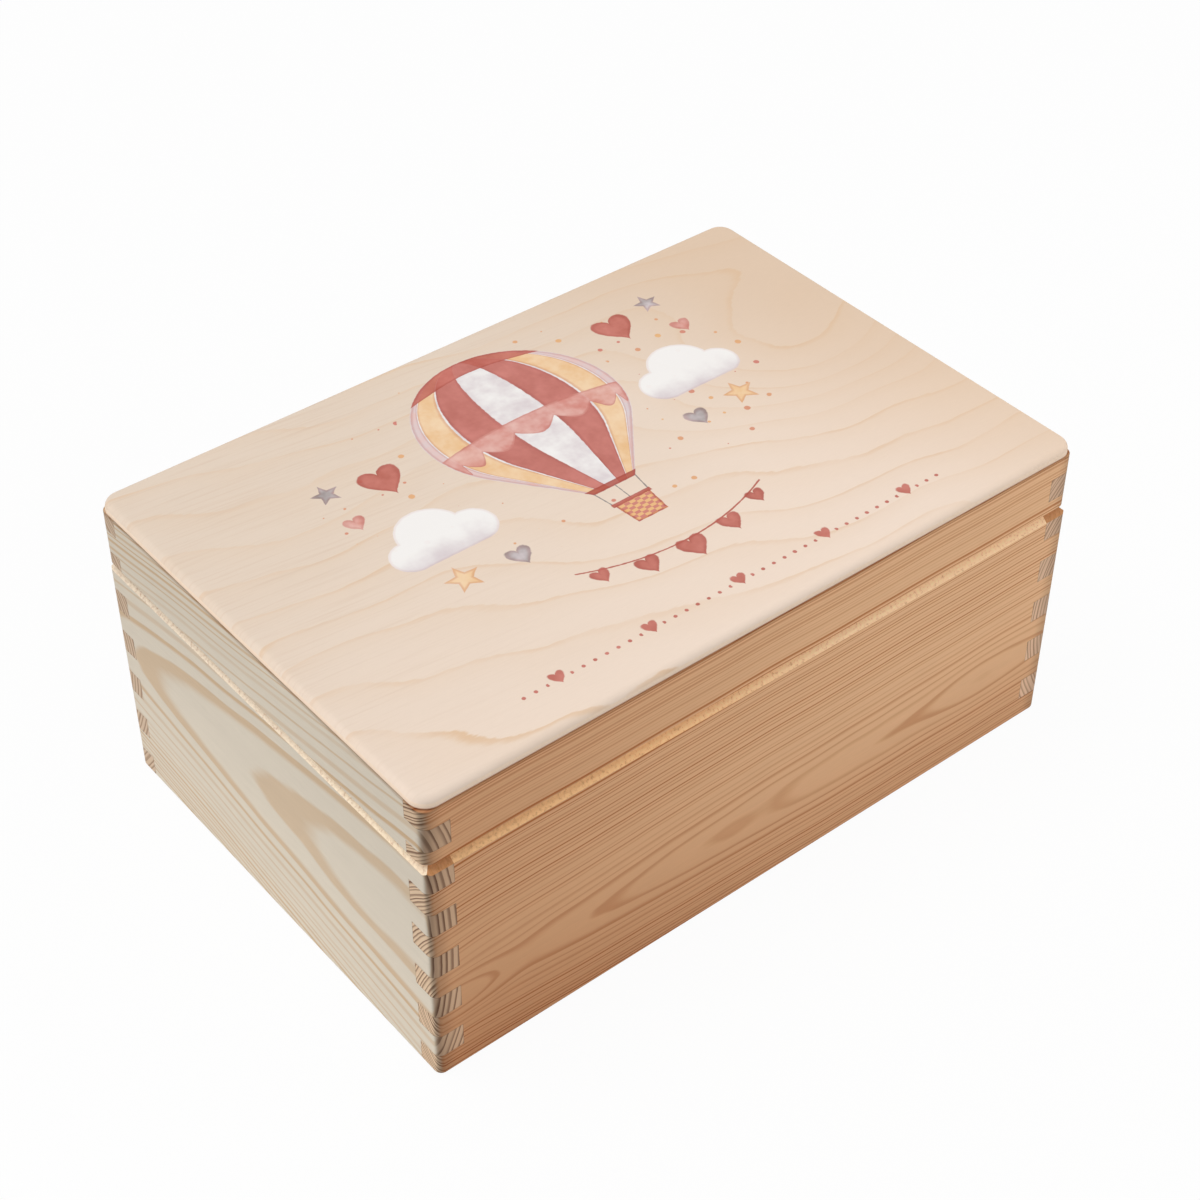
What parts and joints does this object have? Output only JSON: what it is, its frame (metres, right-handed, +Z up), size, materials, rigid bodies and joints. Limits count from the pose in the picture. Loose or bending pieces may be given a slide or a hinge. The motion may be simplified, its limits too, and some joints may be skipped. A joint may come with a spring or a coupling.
{
  "type": "keepsake box",
  "caption": "Rectangular wooden keepsake box: finger-jointed pine case and lid frame, plywood top and bottom, bevelled seam, lid on butt hinges at the back.",
  "frame": {"origin": "middle of the underside, on the plane that the closed box stands on", "axes": "+X along the front from left to right, +Y from the front to the back, where the hinges are, and +Z up"},
  "size_m": [0.3, 0.2004, 0.1341],
  "materials": {
    "pine": "untreated pine, sanded, with growth rings and end grain",
    "plywood": "untreated pale birch plywood, sanded",
    "hinge_brass": "bright brass-plated steel",
    "screw_brass": "bright brass-plated steel"
  },
  "bodies": {
    "case": {"case_front_board": "pine", "case_back_board": "pine", "case_left_board": "pine", "case_right_board": "pine", "case_bottom_panel": "plywood", "left_hinge_lower_leaf": "hinge_brass", "left_hinge_pin": "hinge_brass", "left_hinge_lower_screws": "screw_brass", "right_hinge_lower_leaf": "hinge_brass", "right_hinge_pin": "hinge_brass", "right_hinge_lower_screws": "screw_brass"},
    "lid": {"lid_front_rail": "pine", "lid_back_rail": "pine", "lid_left_rail": "pine", "lid_right_rail": "pine", "lid_top_panel": "plywood", "left_hinge_upper_leaf": "hinge_brass", "left_hinge_upper_screws": "screw_brass", "right_hinge_upper_leaf": "hinge_brass", "right_hinge_upper_screws": "screw_brass"}
  },
  "joints": [
    {"name": "lid_hinge", "type": "hinge", "parent": "case", "child": "lid", "pos_m": [0, 0.09785, 0.105], "axis": [-1, 0, 0], "range_deg": [0, 105]}
  ]
}
